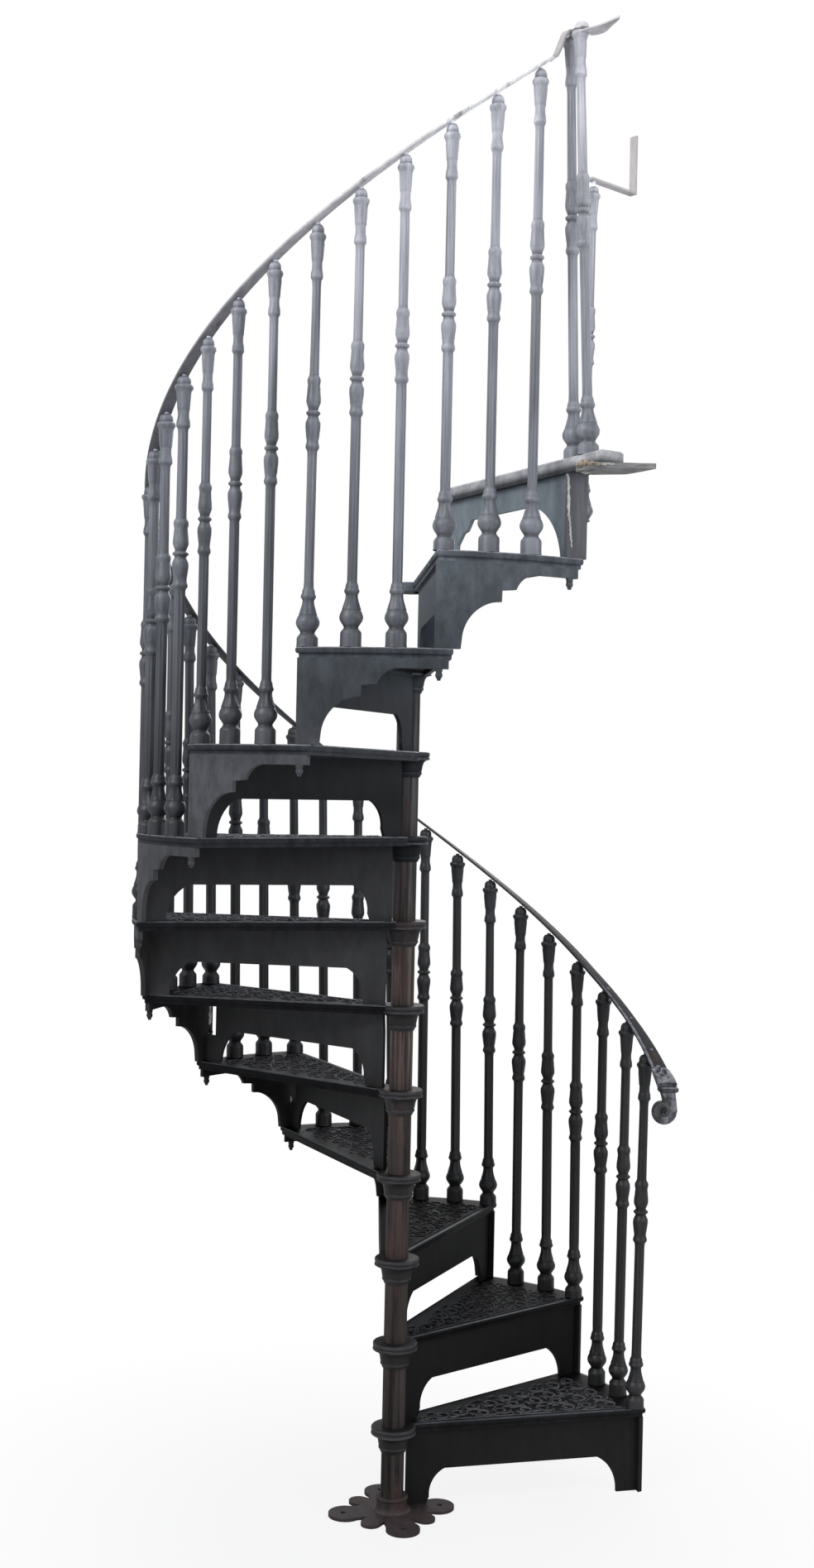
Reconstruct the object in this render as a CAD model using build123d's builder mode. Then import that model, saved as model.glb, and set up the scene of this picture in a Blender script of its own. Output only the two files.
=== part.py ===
"""Cast-iron spiral stair: newel, eleven wedge treads, risers, string brackets and balustrade."""
import os
from math import asin, atan, cos, degrees, radians, sin, sqrt

from build123d import *

os.makedirs("parts", exist_ok=True)

# ---------------------------------------------------------------- driving dimensions, mm and degrees
rise = 220.0                    # height of one step
first_rise = 226.0              # the lowest step, a little taller on its flange
step_angle = 26.05              # turn of one step, anticlockwise from above
tread_count = 11                # cast treads below the landing edge
newel_levels = 10               # treads with a newel sleeve below them; the last sleeve is lost
first_nosing_angle = 13.9       # where the first nosing points
settling = {3: -0.7, 4: -1.6, 5: -2.2, 6: -2.4, 7: -0.8}  # treads that have slipped round, by level

newel_radius = 30.0             # outside of the sleeves
newel_bore = 19.0               # hole for the tie rod
fit_gap = 0.3                   # running clearance where one casting sits on another

tread_radius = 704.0            # outer edge of a tread
bead_depth = 15.0               # rounded upper bead of a tread's rim
rim_depth = 24.0                # whole rim
rim_step = 6.0                  # how far the lower rim stands back
rim_width = 28.0                # solid band round the edge of a tread
plate_depth = 12.0              # thickness inside the rim
tread_lap = 46.0                # how far a tread runs under the next one

collar_radius = 56.0            # round collar where a tread meets the newel
collar_band = 12.0              # plain band at the top of the collar
collar_depth = 66.0             # length of the bell below the collar
bell_radius = 38.0              # waist of the bell
top_collar_radius = 42.0        # plain collar of the top tread

riser_setback = 16.0            # riser behind the nosing edge
riser_depth = 10.0              # thickness of the riser casting
arch_height = 92.0              # opening at the foot of each riser
arch_inner = 98.0               # radius where the opening starts
arch_end = 75.0                 # where the opening ends, short of the tread's edge
rib_depth = 48.0                # stiffening rib behind the inner leg of the top riser
slot_width = 36.0               # upright slot between some risers and their brackets
slot_low = 74.0
slot_high = 167.0
slotted = (5, 6)                # levels that have the slot

bracket_inset = 6.0             # string brackets short of the tread's edge
bracket_depth = 12.0            # thickness of the string brackets
bracket_leg = 4.95              # angle covered by a bracket's leg
bracket_end = 28.75             # angle where a bracket stops

rail_inset = 25.0               # circle of the balusters inside the tread's edge
base_ball = 55.5                # ball above the tread, first baluster of a step
tall_ball = 67.0                # ball above the tread, second and third
knop_height = 528.0             # middle disc above the tread, first baluster
rim_height = 930.0              # capital rim above the tread, first baluster
landing_rise = 31.5             # landing capitals above the height of the first baluster's
capital_drop = 406.0            # middle disc up to the capital rim on the landing
dome_height = 27.0              # dome above the capital rim

foot_radius = 24.0              # turned foot of a baluster
lower_shaft = 13.2              # radius of the shaft below the middle knop
upper_shaft = 12.4              # radius of the shaft above it

rail_width = 32.0               # flat bar of the handrail
rail_depth = 6.0
rail_lift = 33.0                # underside of the bar above the capital rim
pin_height = 29.0               # top of the pins above the capital rim
pin_radius = 5.0
flare_from = 38.0               # direction from which the lower end swings outwards
flare_rate = 1.0                # swing outwards for each degree
spread_from = 24.0              # direction from which the lower end widens
spread_rate = 0.9               # extra width for each degree
scroll_radius = 36.0            # volute at the lower end
scroll_drop = 57.0              # centre of the volute below the bar

flange_depth = 8.0              # base flange
flange_boss = 44.0              # boss round the newel foot
flange_long = 168.0             # reach of the four bolted lobes
flange_short = 128.0            # reach of the four plain lobes
flange_bolts = 130.0            # bolt circle radius
bolt_radius = 7.0
flange_turn = 14.0              # turn of the flange against the axes

landing_nosing_angle = 300.0    # direction of the landing edge casting
landing_lift = 8.0              # landing edge above the regular rise
landing_overhang = 124.0        # landing edge beyond the treads
landing_inner = 150.0           # inner end, where the hub is missing
landing_width = 62.0            # breadth of the landing edge
landing_rim = 34.0              # depth of its rim
lug_depth = 12.0                # flat lug under the outer end
tie_width = 25.0                # flat bar of the wall tie

# ---------------------------------------------------------------- sizes that follow
bracket_outer = tread_radius - bracket_inset
rail_circle = tread_radius - rail_inset
arch_outer = tread_radius - arch_end
landing_reach = tread_radius + landing_overhang
riser_reach = sqrt((bracket_outer - bracket_depth) ** 2 - (riser_setback + riser_depth) ** 2) - fit_gap


# ---------------------------------------------------------------- helpers
def turned_plane(angle, height):
    """A level plane whose x axis points along the given direction."""
    a = radians(angle)
    return Plane(origin=(0, 0, height), x_dir=(cos(a), sin(a), 0), z_dir=(0, 0, 1))


def upright_plane(angle, height, offset):
    """A radial upright plane, shifted sideways; x is the radius, y is up."""
    a = radians(angle)
    return Plane(
        origin=(-offset * sin(a), offset * cos(a), height),
        x_dir=(cos(a), sin(a), 0),
        z_dir=(sin(a), -cos(a), 0),
    )


def polar(radius, angle, height):
    """A point given by radius, direction and height."""
    a = radians(angle)
    return (radius * cos(a), radius * sin(a), height)


def nosing_angle(level):
    """Direction of the nosing of a step."""
    return first_nosing_angle + (level - 1) * step_angle + settling.get(level, 0.0)


def top_of(level):
    """Height of a tread's walking face."""
    return first_rise + (level - 1) * rise


def save(part, name):
    """Label a part and write it out."""
    part.label = name
    export_step(part, "parts/" + name + ".step")


def wedge_corners(inset, lap):
    """Plan of a tread: nosing along x, outer arc, back edge beyond the next nosing."""
    outer = tread_radius - inset
    turn = radians(step_angle)
    last = radians(step_angle + degrees(asin(lap / outer)))
    return (
        (0, inset),
        (outer * cos(asin(inset / outer)), inset),
        (outer * cos(last / 2), outer * sin(last / 2)),
        (outer * cos(last), outer * sin(last)),
        (-lap * sin(turn), lap * cos(turn)),
    )


def tread(level):
    """A wedge tread with a moulded rim and a belled collar round the newel."""
    height = top_of(level)
    angle = nosing_angle(level)
    sleeve_below = level <= newel_levels
    with BuildPart() as body:
        with BuildSketch(turned_plane(angle, height)):
            a, b, c, d, e = wedge_corners(0, tread_lap)
            with BuildLine():
                Line(a, b)
                ThreePointArc(b, c, d)
                Polyline(d, e, a)
            make_face()
        extrude(amount=-bead_depth)
        rims = body.edges().filter_by(Axis.Z, reverse=True).filter_by(
            lambda edge: edge.center().X ** 2 + edge.center().Y ** 2 > 200.0 ** 2
        )
        chamfer(rims, length=bead_depth * 0.3)
        with BuildSketch(turned_plane(angle, height - bead_depth)):
            a, b, c, d, e = wedge_corners(rim_step, tread_lap - rim_step)
            with BuildLine():
                Line(a, b)
                ThreePointArc(b, c, d)
                Polyline(d, e, a)
            make_face()
        extrude(amount=-(rim_depth - bead_depth))
        with BuildSketch(turned_plane(angle, height - rim_depth)):
            a, b, c, d, e = wedge_corners(rim_width, tread_lap - rim_width / 2)
            with BuildLine():
                Line(a, b)
                ThreePointArc(b, c, d)
                Polyline(d, e, a)
            make_face()
        extrude(amount=rim_depth - plate_depth, mode=Mode.SUBTRACT)
        if sleeve_below:
            with BuildSketch(Plane.XY.offset(height)):
                Circle(collar_radius)
            extrude(amount=-collar_band)
            bell = (
                (collar_band, collar_radius),
                (rim_depth - 4, collar_radius - 11),
                (46, bell_radius),
                (collar_depth, newel_radius + 3),
            )
            for (high, wide), (low, narrow) in zip(bell, bell[1:]):
                with BuildSketch(Plane.XY.offset(height - high)):
                    RegularPolygon(radius=wide, side_count=12)
                slant = degrees(atan((wide - narrow) * cos(radians(15)) / (low - high)))
                extrude(amount=high - low, taper=slant)
        else:
            with BuildSketch(Plane.XY.offset(height)):
                Circle(top_collar_radius)
            extrude(amount=-rim_depth)
        with BuildSketch(Plane.XY.offset(height)):
            Circle(newel_radius + fit_gap if sleeve_below else newel_bore)
        extrude(amount=-collar_depth, mode=Mode.SUBTRACT)
    return body.part


def riser(level):
    """An upright radial panel with a long low arch at its foot; the top one has a rib."""
    low = top_of(level) - rise
    foot = rise - first_rise if level == 1 else 0.0
    heel = foot + flange_depth if level == 1 else 0.0
    top = rise - rim_depth
    angle = nosing_angle(level)
    outer = riser_reach
    leg = bell_radius + 3
    with BuildPart() as body:
        with BuildSketch(upright_plane(angle, low, riser_setback + riser_depth)):
            with BuildLine():
                Line((leg + 3, top), (outer, top))
                Line((outer, top), (outer, foot))
                Line((outer, foot), (arch_outer, foot))
                ThreePointArc((arch_outer, foot), (arch_outer - 13, 50), (arch_outer - 57, arch_height))
                Line((arch_outer - 57, arch_height), (arch_inner + 48, arch_height))
                ThreePointArc((arch_inner + 48, arch_height), (arch_inner + 18, 66), (arch_inner + 7, 20))
                Line((arch_inner + 7, 20), (arch_inner, heel))
                Line((arch_inner, heel), (leg, heel))
                Line((leg, heel), (leg, 145))
                Line((leg, 145), (leg + 3, top))
            make_face()
            if level in slotted:
                with Locations((outer - slot_width / 2, (slot_low + slot_high) / 2)):
                    Rectangle(slot_width, slot_high - slot_low, mode=Mode.SUBTRACT)
        extrude(amount=riser_depth)
        if level == tread_count:
            with BuildSketch(upright_plane(angle, low, riser_setback + riser_depth + rib_depth)):
                with Locations((arch_inner - 4, top / 2)):
                    Rectangle(8, top)
            extrude(amount=rib_depth)
    return body.part


def bracket(level):
    """The outer string of a step: a leg, a corbel curve and a small drop at the end."""
    height = top_of(level)
    drop = first_rise if level == 1 else rise
    angle = nosing_angle(level)
    middle = bracket_end / 2
    inner = bracket_outer - bracket_depth

    def spot(turn, z):
        return (bracket_outer * sin(radians(turn - middle)), z)

    with BuildPart() as body:
        with BuildSketch(Plane.XY.offset(height - drop)):
            Circle(bracket_outer)
            Circle(inner, mode=Mode.SUBTRACT)
        extrude(amount=drop - rim_depth)
        a = radians(angle + middle)
        reach = inner - 60
        side = Plane(
            origin=(reach * cos(a), reach * sin(a), height),
            x_dir=(-sin(a), cos(a), 0),
            z_dir=(cos(a), sin(a), 0),
        )
        with BuildSketch(side):
            with BuildLine():
                Line(spot(0.35, -rim_depth), spot(0.35, -drop))
                Line(spot(0.35, -drop), spot(bracket_leg, -drop))
                Line(spot(bracket_leg, -drop), spot(5.2, -190))
                ThreePointArc(spot(5.2, -190), spot(7.6, -135), spot(12.64, -111))
                Line(spot(12.64, -111), spot(12.7, -85))
                Line(spot(12.7, -85), spot(15.5, -82))
                ThreePointArc(spot(15.5, -82), spot(16.9, -58), spot(20.0, -46))
                Line(spot(20.0, -46), spot(bracket_end, -46))
                Line(spot(bracket_end, -46), spot(bracket_end, -rim_depth))
                Line(spot(bracket_end, -rim_depth), spot(0.35, -rim_depth))
            make_face()
        extrude(amount=bracket_outer - reach + 20, mode=Mode.INTERSECT)
        with BuildSketch(turned_plane(angle + 27.1, height - 46)):
            with Locations(((bracket_outer + inner) / 2, 0)):
                RegularPolygon(radius=9, side_count=6)
        extrude(amount=-26, taper=9)
    return body.part


def baluster_sections(ball, knop, rim, foot=foot_radius):
    """Heights and radii of a turned baluster, from its seat to the rim of its capital."""
    return [
        (0, foot),
        (ball - 29, foot),
        (ball - 20, 15 if foot == foot_radius else foot),
        (ball, 27),
        (ball + 20, 18),
        (ball + 58, 23),
        (ball + 72, lower_shaft),
        (knop - 80, lower_shaft),
        (knop - 70, 19),
        (knop - 24, 20),
        (knop, 11.5),
        (knop + 24, 19.5),
        (knop + 78, upper_shaft),
        (rim - 92, upper_shaft),
        (rim, 23),
    ]


def baluster(sections, crown, crown_radius, pin):
    """A six-sided casting through the given sections, with its dome and pin."""
    with BuildPart() as body:
        levels = sections + [(sections[-1][0] + 4, 15), (sections[-1][0] + crown, crown_radius)]
        for (low, wide), (high, narrow) in zip(levels, levels[1:]):
            with BuildSketch(Plane.XY.offset(low)):
                RegularPolygon(radius=wide, side_count=6)
            slant = degrees(atan((wide - narrow) * cos(radians(30)) / (high - low)))
            extrude(amount=high - low, taper=slant)
        if pin > crown:
            with BuildSketch(Plane.XY.offset(sections[-1][0] + crown)):
                RegularPolygon(radius=pin_radius, side_count=6)
            extrude(amount=pin - crown)
    return body.part


def stand(shape, foot, head):
    """Set a baluster on its foot and lean it so that its head lies over another point."""
    dx, dy = head[0] - foot[0], head[1] - foot[1]
    tall = head[2] - foot[2]
    lean = sqrt(dx * dx + dy * dy) / tall
    turned = (degrees(atan(-dy / tall)), degrees(atan(dx / tall)), 0)
    seat = (foot[0], foot[1], foot[2] + foot_radius * lean)
    return shape.moved(Location(seat, turned))


# ---------------------------------------------------------------- base and newel
with BuildPart() as base_flange:
    with BuildSketch():
        Circle(82)
        for index in range(4):
            turn = radians(flange_turn + 90 * index)
            with Locations(Location((0, 0, 0), (0, 0, flange_turn + 90 * index))):
                with Locations((flange_long - 44, 0)):
                    Circle(44)
                with Locations((flange_long / 2 - 22, 0)):
                    Rectangle(flange_long - 44, 76)
            with Locations(Location((0, 0, 0), (0, 0, flange_turn + 45 + 90 * index))):
                with Locations((flange_short - 26, 0)):
                    Circle(26)
                with Locations((flange_short / 2 - 13, 0)):
                    Rectangle(flange_short - 26, 52)
    extrude(amount=flange_depth)
    with BuildSketch(Plane.XY.offset(flange_depth)):
        Circle(newel_radius + 9)
    extrude(amount=flange_boss - flange_depth)
    with BuildSketch():
        with Locations(Location((0, 0, 0), (0, 0, flange_turn))):
            with PolarLocations(flange_bolts, 4):
                Circle(bolt_radius)
    extrude(amount=flange_depth, mode=Mode.SUBTRACT)
    with BuildSketch(Plane.XY.offset(flange_depth)):
        Circle(newel_radius + fit_gap)
    extrude(amount=flange_boss, mode=Mode.SUBTRACT)
save(base_flange.part, "base_flange")

with BuildPart() as newel:
    with BuildSketch(Plane.XY.offset(flange_depth)):
        Circle(newel_radius)
        Circle(newel_bore, mode=Mode.SUBTRACT)
    extrude(amount=top_of(newel_levels) - flange_depth)
save(newel.part, "newel_column")

# ---------------------------------------------------------------- treads, risers and brackets
for level in range(1, tread_count + 1):
    save(tread(level), f"tread_{level:02d}")
    save(riser(level), f"riser_{level:02d}")

flights = {"lower": range(1, 5), "middle": range(5, 9), "upper": range(9, tread_count + 1)}
for name, levels in flights.items():
    pieces = [bracket(level) for level in levels]
    with BuildPart() as strings:
        add(pieces)
    save(strings.part, "string_brackets_" + name)

# ---------------------------------------------------------------- balusters
spacing = step_angle / 3
first_baluster = 1.63
for index, name in enumerate(("short", "medium", "tall")):
    ball = base_ball if index == 0 else tall_ball
    rim = rim_height + index * rise / 3
    shape = baluster(
        baluster_sections(ball, knop_height + index * rise / 3, rim), dome_height, pin_radius + 1, pin_height
    )
    pieces = []
    for level in range(1, tread_count + 1):
        turn = first_baluster + index * spacing
        foot = polar(rail_circle, nosing_angle(level) + turn, top_of(level))
        level_turn = first_nosing_angle + (level - 1) * step_angle + turn
        pieces.append(stand(shape, foot, polar(rail_circle, level_turn, top_of(level) + rim)))
    with BuildPart() as row:
        add(pieces)
    save(row.part, "balusters_" + name)


# ---------------------------------------------------------------- handrail
def rail_base(turn):
    """Underside of the bar in a given direction."""
    first = first_nosing_angle + first_baluster
    return first_rise + rim_height + rail_lift + (turn - first) / step_angle * rise


def rail_middle(turn):
    """Radius of the bar's centre line; the lower end swings outwards."""
    return rail_circle + max(0.0, flare_from - turn) * flare_rate


def rail_breadth(turn):
    """Width of the bar; the lower end widens."""
    return rail_width + max(0.0, spread_from - turn) * spread_rate


def rail_length(start, end, count):
    """A length of flat bar, wide side level across, climbing round the stair."""
    slope = rise / (radians(step_angle) * rail_circle)
    tall = rail_depth * (1 + slope ** 2) ** 0.5
    with BuildPart() as body:
        for index in range(count + 1):
            turn = start + (end - start) * index / count
            with BuildSketch(upright_plane(turn, rail_base(turn), 0)):
                with Locations((rail_middle(turn), tall / 2)):
                    Rectangle(rail_breadth(turn), tall)
        loft(ruled=True)
    return body.part


def regular_angle(level):
    """Direction of a nosing on the regular helix of the handrail."""
    return first_nosing_angle + (level - 1) * step_angle


rail_start = first_nosing_angle - 3.4
scroll_turn = first_nosing_angle - 7.9
rail_turns = (
    rail_start,
    regular_angle(4) + first_baluster + spacing * 0.5,
    regular_angle(8) + first_baluster + spacing * 0.5,
    regular_angle(11) + first_baluster + 2 * spacing + 2.75,
)
for index, name in enumerate(("lower", "middle", "upper")):
    start, end = rail_turns[index], rail_turns[index + 1]
    save(rail_length(start, end, round((end - start) / 4.4)), "handrail_" + name)

with BuildPart() as handrail_scroll:
    neck = rail_middle(scroll_turn)
    throat = rail_base(scroll_turn)
    for turn, tall in ((rail_start, rail_depth + 2), (scroll_turn, 22)):
        with BuildSketch(upright_plane(turn, rail_base(turn), 0)):
            with Locations((rail_middle(turn), tall / 2)):
                Rectangle(rail_breadth(turn) + 3, tall)
    loft(ruled=True)
    with BuildSketch(upright_plane(scroll_turn, throat, 0)):
        with Locations((neck, 5)):
            Rectangle(rail_breadth(scroll_turn) + 8, 14)
    extrude(amount=36)
    with BuildSketch(upright_plane(scroll_turn, throat, 0)):
        with Locations((neck - 10, -scroll_drop)):
            Circle(scroll_radius)
        with Locations((neck + scroll_radius - 30, -scroll_drop / 2)):
            Rectangle(40, scroll_drop)
    extrude(amount=32)
    with BuildSketch(upright_plane(scroll_turn, throat, -36)):
        with Locations((neck - 12, -scroll_drop + 2)):
            Circle(scroll_radius * 0.4)
    extrude(amount=-40)
save(handrail_scroll.part, "handrail_scroll")

# ---------------------------------------------------------------- landing edge
landing = top_of(tread_count + 1) + landing_lift
low = top_of(tread_count)
out = landing_nosing_angle
with BuildPart() as landing_edge:
    with BuildSketch(turned_plane(out, landing)):
        with Locations(((landing_inner + landing_reach) / 2, landing_width / 2)):
            Rectangle(landing_reach - landing_inner, landing_width)
    extrude(amount=-landing_rim)
    chamfer(landing_edge.edges().group_by(Axis.Z)[-1], length=5)
save(landing_edge.part, "landing_edge")

with BuildPart() as landing_riser:
    top = landing - low - landing_rim
    outer = riser_reach
    with BuildSketch(upright_plane(out, low, riser_setback + riser_depth)):
        with BuildLine():
            Line((landing_inner, top), (outer, top))
            Line((outer, top), (outer, 0))
            Line((outer, 0), (outer - 29, 0))
            ThreePointArc((outer - 29, 0), (outer - 66, 86), (outer - 161, 138))
            Line((outer - 161, 138), (265, 138))
            Line((265, 138), (243, 112))
            Line((243, 112), (225, 108))
            Line((225, 108), (200, 82))
            Line((200, 82), (188, 0))
            Line((188, 0), (landing_inner, 0))
            Line((landing_inner, 0), (landing_inner, top))
        make_face()
    extrude(amount=riser_depth)
save(landing_riser.part, "landing_riser")

with BuildPart() as landing_leg:
    with BuildSketch(Plane.XY.offset(low)):
        Circle(bracket_outer)
        Circle(bracket_outer - bracket_depth, mode=Mode.SUBTRACT)
    extrude(amount=landing - low - landing_rim)
    with BuildSketch(turned_plane(out + 2.75, low)):
        with Locations((bracket_outer, 0)):
            Rectangle(100, 56)
    extrude(amount=rise * 2, mode=Mode.INTERSECT)
save(landing_leg.part, "landing_leg")

with BuildPart() as landing_lug:
    with BuildSketch(turned_plane(out, landing - landing_rim)):
        with BuildLine():
            near = landing_reach - 10
            Line((near - 48, -26), (near + 20, -32))
            Line((near + 20, -32), (near + 89, 93))
            ThreePointArc((near + 89, 93), (near + 41, 90), (near - 8, 83))
            Line((near - 8, 83), (near - 58, 26))
            Line((near - 58, 26), (near - 48, -26))
        make_face()
        with Locations((near - 16, -10)):
            SlotOverall(34, bolt_radius * 2 - 2, mode=Mode.SUBTRACT)
    extrude(amount=-lug_depth)
save(landing_lug.part, "landing_lug")

# ---------------------------------------------------------------- landing balusters
landing_head = rim_height + landing_rise
landing_knop = landing_head - capital_drop
strap_slope = 0.2               # fall of the rail end towards its tip
tip_turn = out - 4.6            # direction of the rail end in plan
inner_foot = polar(rail_circle + 3, out + 2.6, landing)
outer_foot = (polar(rail_circle + 69, out + 2.4, 0)[0] - 6, polar(rail_circle + 69, out + 2.4, 0)[1], landing)
inner_head = (inner_foot[0] - 26, inner_foot[1] + 16, landing + landing_head)
outer_head = (outer_foot[0] - 38, outer_foot[1] + 16, landing + landing_head)
outer_crown = 6.0               # the strap lies on the outer capital
inner_crown = outer_crown + strap_slope * sqrt(
    (outer_head[0] - inner_head[0]) ** 2 + (outer_head[1] - inner_head[1]) ** 2
)
tie_turn = 41.9
tie_drop = 13.5                 # the wall baluster stands a little lower
wall_x, wall_y = polar(rail_circle + 7, tie_turn, 0)[:2]
tie_foot = (wall_x - 21, wall_y, landing - tie_drop)
wall_head = (wall_x - 12, wall_y, landing - tie_drop + landing_head)
wall_crown = pin_height + 12

plain = baluster_sections(base_ball, landing_knop, landing_head)
slim = baluster_sections(base_ball, landing_knop, landing_head, foot=10)
pieces = [
    stand(baluster(plain, inner_crown - 4, 10, inner_crown - pin_radius * strap_slope), inner_foot, inner_head),
    stand(baluster(plain, outer_crown - 13 * strap_slope, 13, 0), outer_foot, outer_head),
    stand(baluster(slim, dome_height, pin_radius + 1, wall_crown), tie_foot, wall_head),
]
with BuildPart() as row:
    add(pieces)
save(row.part, "balusters_landing")

with BuildPart() as landing_bearer:
    start = Vector(*polar(riser_reach - 10, out, 0)[:2]) + Vector(*polar(landing_width, out + 90, 0)[:2])
    end = Vector(*tie_foot[:2])
    along = (end - start).normalized()
    across = Vector(-along.Y, along.X)
    with BuildSketch(Plane.XY.offset(landing - landing_rim)):
        with BuildLine():
            side = Vector(*polar(14, out, 0)[:2])
            Polyline(start - side, start + side, end - across * 5, end + across * 5, close=True)
        make_face()
        with Locations(tie_foot[:2]):
            Circle(11)
    extrude(amount=landing_rim - tie_drop)
save(landing_bearer.part, "landing_bearer")

# ---------------------------------------------------------------- rail end and wall tie
strap_run = radians(tip_turn)
strap_dip = sqrt(1 + strap_slope ** 2)
strap_seat = landing + landing_head + foot_radius * 0.033 + inner_crown
strap_x = Vector(cos(strap_run), sin(strap_run), -strap_slope) / strap_dip
strap_z = Vector(cos(strap_run), sin(strap_run), 1 / strap_slope).normalized()
strap = Plane(origin=(inner_head[0], inner_head[1], strap_seat), x_dir=strap_x, z_dir=strap_z)
post_gap = sqrt((outer_head[0] - inner_head[0]) ** 2 + (outer_head[1] - inner_head[1]) ** 2) * strap_dip
with BuildPart() as rail_end:
    with BuildSketch(strap):
        with Locations((post_gap / 2 + 4, 0)):
            Rectangle(post_gap + rail_width - 8, rail_width)
        with BuildLine():
            root = post_gap + 4
            Line((root, -rail_width / 2), (root, rail_width / 2))
            ThreePointArc((root, rail_width / 2), (root + 70, 15), (root + 145, 0))
            ThreePointArc((root + 145, 0), (root + 70, -15), (root, -rail_width / 2))
        make_face()
    extrude(amount=rail_depth)
    with BuildSketch(strap.offset(rail_depth)):
        with Locations((post_gap, 0)):
            RegularPolygon(radius=14, side_count=6)
    extrude(amount=11, taper=24)
save(rail_end.part, "rail_end")

with BuildPart() as rail_twist:
    last = rail_turns[-1]
    across = Vector(*polar(1, last, 0)[:2])
    begin = Vector(*polar(rail_circle, last, rail_base(last) + rail_depth / 2))
    finish = strap.from_local_coords(Vector(6, -rail_width / 2 - fit_gap / 2, rail_depth / 2))
    travel = finish - begin
    flat = Vector(travel.X, travel.Y, 0)
    for share, climb, tilt in ((0, 0, 0.0), (0.25, 0.12, 1.0), (0.72, 0.85, 1.6), (1, 1, 0.0)):
        spot = begin + flat * share + Vector(0, 0, travel.Z * climb)
        ahead = flat.normalized() + Vector(0, 0, tilt)
        side = across if share < 1 else strap_x
        with BuildSketch(Plane(origin=spot, x_dir=side, z_dir=ahead - side * ahead.dot(side))):
            Rectangle(rail_width, rail_depth)
    loft(ruled=True)
save(rail_twist.part, "rail_twist")

tie_seat = tie_foot[2] + landing_head + wall_crown + 0.2
out_x, out_y = polar(1, tie_turn, 0)[:2]
with BuildPart() as wall_tie:
    with BuildSketch(Plane(origin=(wall_head[0], wall_head[1], tie_seat), x_dir=(out_x, out_y, 0))):
        with Locations((76.5, 0)):
            Rectangle(195, tie_width)
    extrude(amount=rail_depth)
    with BuildSketch(Plane(origin=(wall_head[0], wall_head[1], tie_seat), x_dir=(out_x, out_y, 0))):
        with Locations((171, 0)):
            Rectangle(rail_depth, tie_width)
    extrude(amount=172)
save(wall_tie.part, "wall_tie")
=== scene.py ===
import random
from math import cos, pi, radians, sin, sqrt

import bpy
import numpy as np
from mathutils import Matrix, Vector


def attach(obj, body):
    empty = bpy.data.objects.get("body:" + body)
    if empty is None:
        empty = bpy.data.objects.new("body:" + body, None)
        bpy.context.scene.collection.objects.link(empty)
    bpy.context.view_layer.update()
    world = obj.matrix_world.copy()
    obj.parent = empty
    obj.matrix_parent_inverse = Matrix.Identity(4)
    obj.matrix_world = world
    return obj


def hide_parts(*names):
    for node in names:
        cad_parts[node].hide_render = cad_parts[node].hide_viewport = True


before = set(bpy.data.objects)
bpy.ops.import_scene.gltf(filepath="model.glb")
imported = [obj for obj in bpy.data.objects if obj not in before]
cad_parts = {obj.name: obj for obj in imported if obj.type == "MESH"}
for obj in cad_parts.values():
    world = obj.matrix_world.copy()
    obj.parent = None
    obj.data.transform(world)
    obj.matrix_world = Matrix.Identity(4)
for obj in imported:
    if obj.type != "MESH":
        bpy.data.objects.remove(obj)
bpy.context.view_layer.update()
scene = bpy.context.scene
rng = random.Random(7)

# ------------------------------------------------------------------ sizes shared with the CAD
# Metres and degrees; the outlines of turned castings are (height, radius) pairs in millimetres.
RISE, FIRST_RISE = 0.220, 0.226     # one step up; the floor up to the first tread
STEP, FIRST = 26.05, 13.9           # turn of one step; direction of the first nosing
COUNT = 11                          # treads below the landing edge
NEWEL_LEVELS = 10                   # treads that the newel reaches
SETTLING = {3: -0.7, 4: -1.6, 5: -2.2, 6: -2.4, 7: -0.8}    # turn of the settled treads
TREAD_R, TREAD_LAP = 0.704, 0.046   # outer radius; how far a tread laps under the next riser
RAIL_R, RIM = 0.679, 0.930          # circle of the balusters; tread to the first capital's rim
RAIL_LIFT = 0.033                   # first capital's rim up to the rail
RAIL_W, RAIL_T = 0.032, 0.006       # bar of the handrail
BAL_FIRST, SPACING = 1.63, STEP / 3     # nosing to its first baluster; baluster to baluster
LANDING = FIRST_RISE + COUNT * RISE + 0.008     # top of the landing edge
OUT = 300.0                         # direction of the landing edge
UPWARD = np.array([0, 0, 1.0])


def top_of(level):
    return FIRST_RISE + (level - 1) * RISE


def regular(level):
    return FIRST + (level - 1) * STEP


def nosing(level):
    return regular(level) + SETTLING.get(level, 0.0)


def polar(r, angle, z=0.0):
    a = radians(angle)
    return np.array([r * cos(a), r * sin(a), z])


# ------------------------------------------------------------------ materials
FULL = 3.8                          # height that the colour ramps run over
CREASE = 0.6                        # how much the painted light of a point lightens or darkens the paint
RUST_DARK, RUST_PALE = (50, 38, 36), (88, 70, 66)
# scale, detail and roughness of the noise of soft patches, fine grain and rust spots
PATCHES, GRAIN, SPOTS = (5.0, 5.0, 0.55), (90.0, 8.0, 0.7), (11.0, 8.0, 0.72)
# how sharp a bend begins and ends to count as a worn edge with painted highlight, and as a hollow
# with painted shade
EDGES, HOLLOWS = (0.505, 0.56), (0.43, 0.495)


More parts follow.
